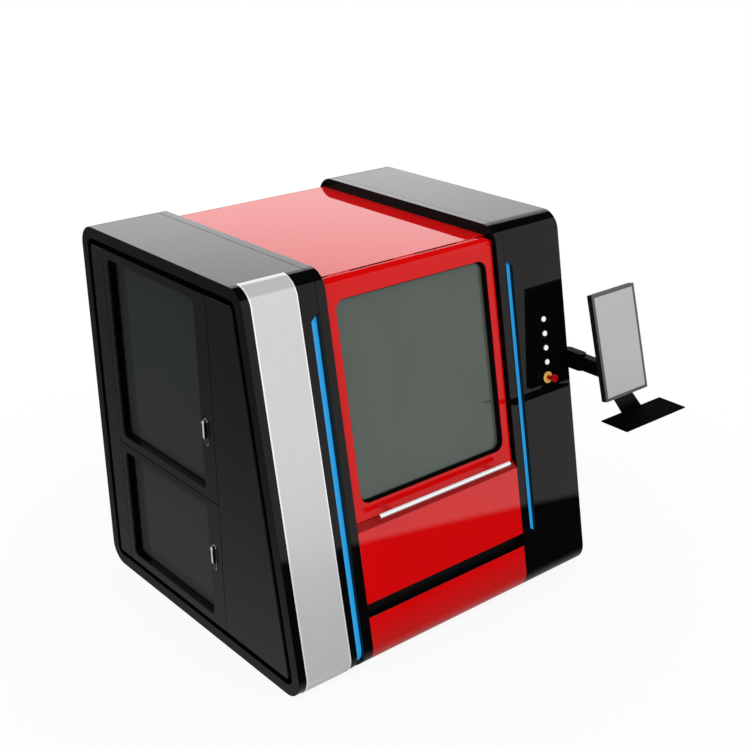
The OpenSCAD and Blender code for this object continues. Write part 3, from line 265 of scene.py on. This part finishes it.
# Bright metal. The bar handle, of radius r round (y, z) and right of x, is satin above and in front, with a painted
# white highlight there, mirror below.
# Latch plates are capsules round (y, z), dark inside their rim; levers have a painted highlight on their outer face
# and lock, painted shade on their sides
barSet = {
    "x": -0.8, "y": -0.7522, "z": 0.7301, "r": 0.0125,
    "band": (0.60, 0.82), "satinHighlight": (1.0, 1.0, 1.0), "satinRough": 0.1, "satinDull": 0.8,
    "streak": (60, 4, (0.03, 1, 1)), "streakRough": 0.08,
}
plateSet = {
    "x": (-0.9363, -0.9318), "y": -0.1872, "z": (1.110, 0.466), "straight": 0.051, "rim": 0.0122,
    "dark": (0.012, 0.012, 0.013), "leverShade": (0.05, 0.05, 0.052),
    "face": -0.9435, "leverHighlight": -0.190, "lock": -0.9470, "leverHighlightDull": 0.6,
}


def chromed(name, deep, pale, rough):
    def look(at):
        b, p = barSet, plateSet
        x, y, z = (at.along(axis) for axis in "XYZ")
        streak = at.grain(*b["streak"])
        frontUp = ((z - b["z"]) - (y - b["y"])) * (sqrt(0.5) / b["r"])
        satinHighlight = frontUp.ease(*b["band"]) * x.above(b["x"]) * (1 - y.above(b["y"] + b["r"]))
        upper, lower = (((z - middle).size() - p["straight"]).most(0.0) for middle in p["z"])
        past, aside = upper.least(lower), y - p["y"]
        inside = 1 - (past * past + aside * aside).above(p["rim"] ** 2)
        sheet = x.between(*p["x"]) * inside
        leverShade = 1 - x.above(p["x"][0])
        leverHighlight = ((1 - x.above(p["face"])) * y.above(p["leverHighlight"])).most(1 - x.above(p["lock"]))
        # painted highlight: the satin band above and in front of the bar is white
        shade = satinHighlight.tone(streak.tone(deep, pale), b["satinHighlight"])
        # painted shade on the lever's sides; the painted highlight stays on its outer face and lock
        shade = (leverShade - leverHighlight).most(0.0).tone(shade, p["leverShade"])
        return {
            "Base Color": sheet.tone(shade, p["dark"]),
            "Roughness": streak * b["streakRough"] + satinHighlight * b["satinRough"] + rough,
            "Metallic": (1 - sheet) * (1 - satinHighlight * b["satinDull"]) * (1 - leverHighlight * p["leverHighlightDull"]),
        }
    return finish(name, {}, look)


# Moulded plastic with a fine spark-eroded grain
mouldSet = {"pitDetail": 3, "pitRough": 0.12, "pitBump": (0.12, 0.0003), "cloud": (7, 3), "cloudRough": 0.06}

# The monitor's face is a paler grey than its sides: it lies past "from" along its normal, above the tray
faceSet = {"normal": (0, -0.9646, 0.2639), "from": 1.1705, "above": 0.95, "grey": 17.0}


def faced(at, shade, cloud, deep, pale):
    s = faceSet
    reach = at.node("VectorMath", {"operation": "DOT_PRODUCT"}, {0: at, 1: s["normal"]}, "Value")
    face = reach.above(s["from"]) * at.along("Z").above(s["above"])
    return face.tone(shade, cloud.tone([v * s["grey"] for v in deep], [v * s["grey"] for v in pale]))


def moulded(name, deep, pale, rough, grain=700, gloss=0.4, face=False, glowing=0.0):
    def look(at):
        s = mouldSet
        pits, cloud = at.grain(grain, s["pitDetail"]), at.grain(*s["cloud"])
        shade = cloud.tone(deep, pale)
        return {
            "Base Color": faced(at, shade, cloud, deep, pale) if face else shade,
            "Roughness": pits * s["pitRough"] + cloud * s["cloudRough"] + rough,
            "Normal": pits.bump(*s["pitBump"]),
        }
    return finish(name, {"Specular IOR Level": gloss, "Emission Color": (*pale, 1), "Emission Strength": glowing}, look)


# Tinted pane: faint streaks of wiping in its gloss; where asked, painted light makes it paler towards the floor
paneSet = {
    "wipe": (5, 4, (1, 1, 0.35)), "wipeRough": 0.03, "rough": 0.02,
    "speck": (260, 4), "speckFrom": (0.66, 0.8), "speckRough": 0.08, "speckAlpha": 0.1,
}


def pane(name, deep, pale, alpha, gloss, paintedFloorLight=0.0):
    def look(at):
        s = paneSet
        wipe = at.grain(*s["wipe"])
        specks = at.grain(*s["speck"]).ease(*s["speckFrom"])
        shade = wipe.tone(deep, pale)
        return {
            "Base Color": floorTinted(at, shade, paintedFloorLight) if paintedFloorLight else shade,
            "Roughness": wipe * s["wipeRough"] + specks * s["speckRough"] + s["rough"],
            "Alpha": specks * s["speckAlpha"] + alpha,
        }
    return finish(name, {"Specular IOR Level": gloss}, look)


# Lit diffuser of the light strips: fading downwards, with soft bands of the lamps behind it
glowSet = {
    "lamps": 190, "lampShare": 0.25, "fade": (0.1, 1.5),
    "cloud": (30, 3), "cloudShare": 0.4, "cloudRough": 0.1, "rough": 0.3,
}


def glow(name, deep, pale, dim, strength):
    def look(at):
        s = glowSet
        z = at.along("Z")
        lamps = (z * s["lamps"]).wave() * 0.5 + 0.5
        cloud = at.grain(*s["cloud"])
        glowing = (lamps * s["lampShare"] + cloud * s["cloudShare"]).tone(deep, pale)
        shade = (1 - z.ease(*s["fade"])).tone(glowing, dim)
        return {"Base Color": shade, "Emission Color": shade, "Roughness": cloud * s["cloudRough"] + s["rough"]}
    return finish(name, {"Emission Strength": strength}, look)


# Lit display: a pale panel, slightly cloudy, with a fine grain of cells
displaySet = {
    "cloud": (2.2, 2), "cloudShare": 0.8, "rough": 0.22,
    "cells": (1500, 1), "cellShare": 0.2, "cellRough": 0.08,
}


def display(name, deep, pale, strength):
    def look(at):
        s = displaySet
        cloud, cells = at.grain(*s["cloud"]), at.grain(*s["cells"])
        shade = (cloud * s["cloudShare"] + cells * s["cellShare"]).tone(deep, pale)
        return {"Base Color": shade, "Emission Color": shade, "Roughness": cells * s["cellRough"] + s["rough"]}
    return finish(name, {"Emission Strength": strength}, look)


# One finish for each material slot: deep and pale tone, then what its kind takes
blackTones = (0.0012, 0.0012, 0.0013), (0.0026, 0.0026, 0.0028)
finishes = {
    "black_paint": paint("blackGloss", *blackTones, rough=0.004, spread=0.01, gloss=0.22, peel=0.002, dull=0.01),
    "red_paint": paint("redGloss", (0.62, 0.0015, 0.002), (0.70, 0.003, 0.004), redSet["rough"], redSet["spread"],
                       gloss=0.22, peel=0.002, dull=0.01, detail=redDetail),
    "side_paint": paint("sideSatin", (0.005, 0.005, 0.0052), (0.008, 0.008, 0.008),
                        rough=0.12, spread=0.08, gloss=0.22, detail=sideDetail),
    "frame_paint": paint("frameMatt", (0.0015, 0.0015, 0.0015), (0.003, 0.003, 0.003),
                         rough=0.5, spread=0.12, gloss=0.1, peel=0.15),
    "silver_sheet": glintHemmed("silverSheet", (0.595, 0.605, 0.605), (0.665, 0.675, 0.675), rough=0.12, metal=0.22),
    "light_strip": glow("lightStrip", (0.007, 0.185, 0.43), (0.013, 0.225, 0.50),
                        dim=(0.010, 0.205, 0.46), strength=0.9),
    "door_glass": pane("doorGlass", (0.075, 0.095, 0.078), (0.09, 0.112, 0.093), alpha=0.86, gloss=0.5),
    # side glass: paler towards the floor, painted light bounced up from the floor
    "side_glass": pane("sideGlass", (0.0235, 0.0285, 0.0245), (0.029, 0.0345, 0.030),
                       alpha=0.9, gloss=0.1, paintedFloorLight=0.55),
    "bright_metal": chromed("brightMetal", (0.84, 0.84, 0.85), (0.93, 0.93, 0.94), rough=0.05),
    "steel": brushed("groundSteel", (0.38, 0.385, 0.39), (0.55, 0.56, 0.57), rough=0.3, lines=(0.04, 1, 1)),
    "bed_paint": paint("bedGrey", (0.05, 0.054, 0.058), (0.08, 0.085, 0.09),
                       rough=0.42, spread=0.12, gloss=0.35, peel=0.2),
    "alloy": brushed("clearAlloy", (0.55, 0.56, 0.57), (0.68, 0.69, 0.7), rough=0.32, lines=(0.05, 1, 1)),
    "dark_alloy": brushed("blackAlloy", (0.03, 0.03, 0.033), (0.06, 0.06, 0.064), rough=0.34, lines=(1, 1, 0.05)),
    "cabinet_grey": paint("cabinetGrey", (0.42, 0.43, 0.42), (0.52, 0.53, 0.52),
                          rough=0.35, spread=0.1, gloss=0.4, peel=0.15),
    "case_plastic": moulded("casePlastic", (0.004, 0.004, 0.0042), (0.007, 0.007, 0.0072),
                            rough=0.34, gloss=0.2, face=True),
    "screen": display("screenPanel", (0.30, 0.30, 0.30), (0.352, 0.352, 0.352), strength=0.35),
    # white lenses: painted light, a faint glow that brightens the white
    "white_lens": moulded("whiteLens", (0.82, 0.82, 0.81), (0.9, 0.9, 0.89),
                          rough=0.14, grain=900, gloss=0.5, glowing=0.3),
    "yellow_plastic": moulded("yellowPlastic", (0.88, 0.52, 0.09), (0.97, 0.63, 0.15), rough=0.26, grain=800),
    "red_plastic": moulded("redPlastic", (0.37, 0.001, 0.0015), (0.45, 0.002, 0.003),
                           rough=0.2, grain=800, gloss=0.16),
    "tray_paint": paint("trayBlack", (0.001, 0.001, 0.001), (0.0022, 0.0022, 0.0022),
                        rough=0.5, spread=0.1, gloss=0.004, peel=0.1, detail=trayDetail),
}
innerGloss = paint("innerGloss", *blackTones, rough=0.004, spread=0.01, gloss=0.06, peel=0.002, dull=0.01,
                   detail=innerDetail)
ownFinish = {"left_inner_panel": innerGloss, "right_inner_panel": innerGloss}


def finishOf(node):
    return ownFinish.get(node, finishes[slotOf[node]])


for node, solid in frame["nodes"].items():
    solid.data.materials.clear()
    solid.data.materials.append(finishOf(node))
print("finishes:", len(finishes))


# Puts a new piece into the scene, on its body and with its slot's finish
def place(name, mesh, body, slot):
    mesh.materials.append(finishes[slot])
    piece = bpy.data.objects.new(name, mesh)
    scene.collection.objects.link(piece)
    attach(piece, body)
    return piece


# Edge rounding of the folded sheets, in metres: each is a copy of its solid with the edges broken
softEdges = {
    "left_wrap": 0.0016, "right_wrap": 0.0016, "left_inner_panel": 0.0016, "right_inner_panel": 0.0016,
    "left_side_panels": 0.004, "right_side_panel": 0.0022, "upper_side_door": 0.004, "lower_side_door": 0.004,
    "silver_trim": 0.0012, "top_cover": 0.0014, "front_door": 0.0014, "lower_front_panel": 0.0012,
    "drawer_front": 0.0012, "monitor_housing": 0.0022, "keyboard_tray": 0.0012, "monitor_yoke": 0.003,
    "arm_link": 0.0025, "arm_forearm": 0.0025, "arm_bracket": 0.002, "door_handle": 0.002,
    "upper_latch_plate": 0.001, "lower_latch_plate": 0.001,
    "upper_latch_lever": 0.0015, "lower_latch_lever": 0.0015,
}
# doubles nearer than merge go; edges flatter than flat dissolve and those past sharp are broken, both in degrees
softSet = {"merge": 1e-6, "flat": 0.8, "sharp": 32, "segments": 2, "weight": 100}


def softened(node, width):
    s = softSet
    mesh = frame["nodes"][node].data.copy()
    work = bmesh.new()
    work.from_mesh(mesh)
    bmesh.ops.remove_doubles(work, verts=work.verts, dist=s["merge"])
    bmesh.ops.dissolve_limit(work, angle_limit=radians(s["flat"]), verts=work.verts, edges=work.edges)
    work.to_mesh(mesh)
    work.free()
    mesh.polygons.foreach_set("use_smooth", np.ones(len(mesh.polygons), bool))
    mesh.materials.clear()
    piece = place(node + "_softened", mesh, bodyOf[node], slotOf[node])
    mesh.materials[0] = finishOf(node)
    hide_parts(node)
    edge = piece.modifiers.new("brokenEdge", "BEVEL")
    edge.width, edge.segments = width, s["segments"]
    edge.limit_method, edge.angle_limit = "ANGLE", radians(s["sharp"])
    edge.use_clamp_overlap = True
    even = piece.modifiers.new("flatFaces", "WEIGHTED_NORMAL")
    even.mode, even.weight, even.keep_sharp = "FACE_AREA", s["weight"], True


for node, width in softEdges.items():
    softened(node, width)
print("softened edges:", len(softEdges))


# Mesh over a grid of points, rows by columns, closed along either way where asked; stacks of grids make one mesh
def gridMesh(name, points, wrapRows=False, wrapColumns=False):
    stack = points.reshape(-1, *points.shape[-3:])
    count, rows, cols = stack.shape[:3]
    i = np.arange(rows if wrapRows else rows - 1)[None, :, None]
    j = np.arange(cols if wrapColumns else cols - 1)[None, None, :]
    base = (np.arange(count) * rows * cols)[:, None, None]
    down, across = (i + 1) % rows, (j + 1) % cols
    quads = np.stack([base + i * cols + j, base + i * cols + across, base + down * cols + across,
                      base + down * cols + j], -1).reshape(-1, 4)
    mesh = bpy.data.meshes.new(name)
    mesh.from_pydata(stack.reshape(-1, 3).tolist(), [], quads.tolist())
    mesh.polygons.foreach_set("use_smooth", np.ones(len(mesh.polygons), bool))
    return mesh


# Rounded rectangle by angle a: corner centre + r (cos a, sin a); gives the points and their outward normals
def roundedPath(low, high, r, steps):
    turn = (np.arange(4)[:, None] + np.linspace(0, 1, steps)[None, :]) * pi / 2
    away = np.stack([np.cos(turn), np.sin(turn)], -1)
    spots = np.array([[high[0] - r, high[1] - r], [low[0] + r, high[1] - r],
                      [low[0] + r, low[1] + r], [high[0] - r, low[1] + r]])
    return (spots[:, None] + r * away).reshape(-1, 2), away.reshape(-1, 2)


# Rubber beads round the windows: of the side doors by y and z, of the front door by x and s, the way up its slope,
# from the slope's foot; frontD is the depth behind the door's face
sealSet = {
    "bead": 0.0045, "inset": 0.003, "steps": 10, "around": 10,
    "sideGlassX": -0.888, "sideY": (-0.148, 0.607), "sideR": 0.026,
    "upperZ": (0.806, 1.725), "lowerZ": (0.125, 0.720),
    "lean": 10.2, "foot": (0, -0.845, 0), "frontX": (-0.450, 0.450), "frontS": (0.789, 1.735),
    "frontR": 0.050, "frontD": 0.052, "trim": 0.0025,
}


# Bead along a rounded rectangle, set in from its edge: p(a) + b (cos f n(a) + sin f w), w towards the viewer
def bead(name, box, r, inset, origin, across, up, out, body):
    low, high = np.array(box).T
    path, away = roundedPath(low + inset, high - inset, r - inset, sealSet["steps"])
    f = np.linspace(0, 2 * pi, sealSet["around"], endpoint=False)
    plane = np.array([across, up])
    middle = np.array(origin) + path @ plane
    normal = away @ plane
    ring = np.cos(f)[None, :, None] * normal[:, None] + np.sin(f)[None, :, None] * np.array(out)
    mesh = gridMesh(name, middle[:, None] + sealSet["bead"] * ring, True, True)
    place(name, mesh, body, "frame_paint")


def makeSeals():
    s = sealSet
    for level in ("upper", "lower"):
        bead(level + "WindowSeal", (s["sideY"], s[level + "Z"]), s["sideR"], s["inset"],
             (s["sideGlassX"], 0, 0), (0, 1, 0), (0, 0, 1), (-1, 0, 0), level + "_side_door")
    lean = radians(s["lean"])
    slopeUp, slopeIn = np.array([0, sin(lean), cos(lean)]), np.array([0, cos(lean), -sin(lean)])
    bead("doorWindowSeal", (s["frontX"], s["frontS"]), s["frontR"], s["trim"] + s["inset"],
         np.array(s["foot"]) + s["frontD"] * slopeIn, (1, 0, 0), slopeUp, -slopeIn, "front_door")


# Button-head screws of the sheet panels: profile radius and height, turned about the screw's axis
screwSet = {
    "radius": (0.0, 0.0019, 0.0020, 0.0026, 0.0038, 0.0047, 0.0052, 0.0052),
    "height": (0.0012, 0.0012, 0.0030, 0.0031, 0.0026, 0.0017, 0.0006, -0.0002),
    "around": 20,
    "rearX": 0.478, "rearMiddleX": (-0.24, 0.0, 0.24), "rearY": 0.845,
    "rearZ": (0.04, 0.36, 0.68, 1.0, 1.32, 1.61),
    "collarCount": 6, "collarR": 0.085, "collarY": 0.848, "collarZ": 1.3,
    "sideX": 0.932,
    "sideSpots": ((-0.62, 0.11), (-0.2, 0.11), (0.25, 0.11), (0.735, 0.11), (0.735, 0.66), (0.735, 1.2),
                  (0.735, 1.74), (0.25, 1.74), (-0.2, 1.74), (-0.38, 1.55), (-0.47, 1.05), (-0.56, 0.55)),
}


# Screw surface: spot + r(k) (cos a e1 + sin a e2) + h(k) out
def screws(name, spots, e1, e2, out):
    a = np.linspace(0, 2 * pi, screwSet["around"], endpoint=False)
    r, h = np.array(screwSet["radius"]), np.array(screwSet["height"])
    circle = np.cos(a)[:, None] * np.array(e1) + np.sin(a)[:, None] * np.array(e2)
    one = r[:, None, None] * circle[None] + h[:, None, None] * np.array(out)
    mesh = gridMesh(name, np.array(spots)[:, None, None] + one, False, True)
    place(name, mesh, "machine", "steel")


def makeScrews():
    s = screwSet
    rear = [(side * s["rearX"], s["rearY"], z) for side in (-1, 1) for z in s["rearZ"]]
    rear += [(x, s["rearY"], s["rearZ"][end]) for x in s["rearMiddleX"] for end in (0, -1)]
    screws("rearScrews", rear, (0, 0, 1), (1, 0, 0), (0, 1, 0))
    turn = (np.arange(s["collarCount"]) + 0.5) * 2 * pi / s["collarCount"]
    collar = np.stack([s["collarR"] * np.cos(turn), np.full(turn.shape, s["collarY"]),
                       s["collarZ"] + s["collarR"] * np.sin(turn)], -1)
    screws("collarScrews", collar, (0, 0, 1), (1, 0, 0), (0, 1, 0))
    side = [(s["sideX"], y, z) for y, z in s["sideSpots"]]
    screws("rightPanelScrews", side, (0, 1, 0), (0, 0, 1), (1, 0, 0))


makeSeals()
makeScrews()
print("seals and screws placed")


def lightPath(tree, *names):
    path = tree.nodes.new("ShaderNodeLightPath")
    return [Wire(tree, path.outputs[name]) for name in names]


# Plain pale floor, white to the camera; near the machine it keeps a part of the shadow, which fades with distance
floorSet = {"half": 40.0, "drop": 0.0005, "tone": (0.8, 0.8, 0.8, 1), "shadow": 0.09, "fade": (1.5, 3.4)}


def makeFloor():
    s = floorSet
    half = s["half"]
    corners = [(-half, -half, 0), (half, -half, 0), (half, half, 0), (-half, half, 0)]
    mesh = bpy.data.meshes.new("floor")
    mesh.from_pydata(corners, [], [(0, 1, 2, 3)])
    made = bpy.data.materials.new("paleFloor")
    made.use_nodes = True
    tree = made.node_tree
    tree.nodes.remove(tree.nodes["Principled BSDF"])
    at = Wire(tree, tree.nodes.new("ShaderNodeTexCoord").outputs["Object"])
    far = at.node("VectorMath", {"operation": "LENGTH"}, {0: at}, "Value").ease(*s["fade"])
    camera, through = lightPath(tree, "Is Camera Ray", "Is Transmission Ray")
    matt = tree.nodes.new("ShaderNodeBsdfDiffuse")
    matt.inputs["Color"].default_value = s["tone"]
    white = tree.nodes.new("ShaderNodeEmission")
    mix = tree.nodes.new("ShaderNodeMixShader")
    share = camera.most(through) * (far * s["shadow"] + (1 - s["shadow"]))
    tree.links.new(share.socket, mix.inputs[0])
    tree.links.new(matt.outputs[0], mix.inputs[1])
    tree.links.new(white.outputs[0], mix.inputs[2])
    tree.links.new(mix.outputs[0], tree.nodes["Material Output"].inputs["Surface"])
    floor = bpy.data.objects.new("floor", mesh)
    mesh.materials.append(made)
    scene.collection.objects.link(floor)
    floor.location.z = -s["drop"]
    floor.visible_glossy = False


# Soft room: an even white light. Mirrors show pale walls between a dark ground and a dark ceiling, both with sharp
# edges. The wall behind is the brightest, less so to the right, higher up and near the horizon.
# Pairs are where a change starts and ends, along one axis of the direction
roomSet = {
    "level": 1.0,
    "ceiling": 0.64, "ceilingSoft": 0.008, "zenith": 0.02, "horizon": 1.0,
    "back": (0.2, 0.5), "backGain": 0.97, "right": (0.64, 0.74), "rightLoss": 0.33,
    "high": (0.26, 0.33), "highLoss": 0.16, "low": (0.10, 0.215), "lowLoss": 0.45,
    "edge": -0.2368, "edgeSoft": 0.003, "ground": 0.02, "groundRise": (0.1, 0.4), "groundGain": 0.13,
    "nadir": (-0.8, -0.4), "nadirGain": 0.40,
}


def makeRoom():
    s = roomSet
    world = bpy.data.worlds.new("softRoom")
    scene.world = world
    world.use_nodes = True
    tree = world.node_tree
    at = Wire(tree, tree.nodes.new("ShaderNodeTexCoord").outputs["Generated"])
    x, y, z = (at.along(axis) for axis in "XYZ")
    walls = 1 - z.ease(s["ceiling"] - s["ceilingSoft"], s["ceiling"] + s["ceilingSoft"])
    plain = walls * (s["horizon"] - s["zenith"]) + s["zenith"]
    gain = s["backGain"] - x.ease(*s["right"]) * s["rightLoss"] - z.ease(*s["high"]) * s["highLoss"]
    lifted = z.ease(*s["low"])
    gain = gain * lifted - (1 - lifted) * s["lowLoss"] + (1 - plain)
    room = plain + y.ease(*s["back"]) * walls * gain
    ground = y.ease(*s["groundRise"]) * s["groundGain"] + s["ground"]
    ground = ground + (1 - z.ease(*s["nadir"])) * s["nadirGain"]
    mirrored = (room - ground) * z.ease(s["edge"] - s["edgeSoft"], s["edge"] + s["edgeSoft"]) + ground
    glossy, = lightPath(tree, "Is Glossy Ray")
    shade = glossy * (mirrored - s["level"]) + s["level"]
    tree.links.new(shade.socket, tree.nodes["Background"].inputs["Color"])


# Soft box in front, out of the picture and of the mirrors
lampSet = {"at": (-2.5, -7.0, 4.2), "aim": (0, -0.5, 0.9), "width": 6.0, "height": 3.0, "radiance": 0.8}


def makeLamp():
    s = lampSet
    lamp = bpy.data.lights.new("frontBox", "AREA")
    lamp.shape, lamp.size, lamp.size_y = "RECTANGLE", s["width"], s["height"]
    lamp.energy = s["radiance"] * pi * s["width"] * s["height"]
    box = bpy.data.objects.new("frontBox", lamp)
    box.location = s["at"]
    box.rotation_euler = (Vector(s["aim"]) - Vector(s["at"])).to_track_quat("-Z", "Y").to_euler()
    box.visible_camera = box.visible_glossy = False
    scene.collection.objects.link(box)


# Camera as fitted to the photograph's edges: place in metres, angles in degrees, focal length in pixels of the
# image's width, sensor in millimetres, and the part of the picture's height that the frame is lifted by
shot = {
    "at": (-3.5502, -4.5412, 3.4648), "yaw": 39.5129, "pitch": -23.922, "roll": -0.4173,
    "focal": 1246.6, "image": 750, "sensor": 36.0, "lift": 0.04, "far": 200,
}


def makeCamera():
    yaw, pitch, roll = (radians(shot[turn]) for turn in ("yaw", "pitch", "roll"))
    ahead = np.array([sin(yaw) * cos(pitch), cos(yaw) * cos(pitch), sin(pitch)])
    flat = np.array([cos(yaw), -sin(yaw), 0])
    upright = np.cross(flat, ahead)
    right = flat * cos(roll) + upright * sin(roll)
    up = upright * cos(roll) - flat * sin(roll)
    lens = bpy.data.cameras.new("camera")
    lens.sensor_fit, lens.sensor_width = "HORIZONTAL", shot["sensor"]
    lens.lens = shot["focal"] / shot["image"] * shot["sensor"]
    lens.shift_y = shot["lift"]
    lens.clip_end = shot["far"]
    camera = bpy.data.objects.new("camera", lens)
    turned = Matrix(np.column_stack([right, up, -ahead]).tolist()).to_4x4()
    camera.matrix_world = Matrix.Translation(shot["at"]) @ turned
    scene.collection.objects.link(camera)
    scene.camera = camera


makeFloor()
makeRoom()
makeLamp()
makeCamera()
print("stage, light and camera ready")
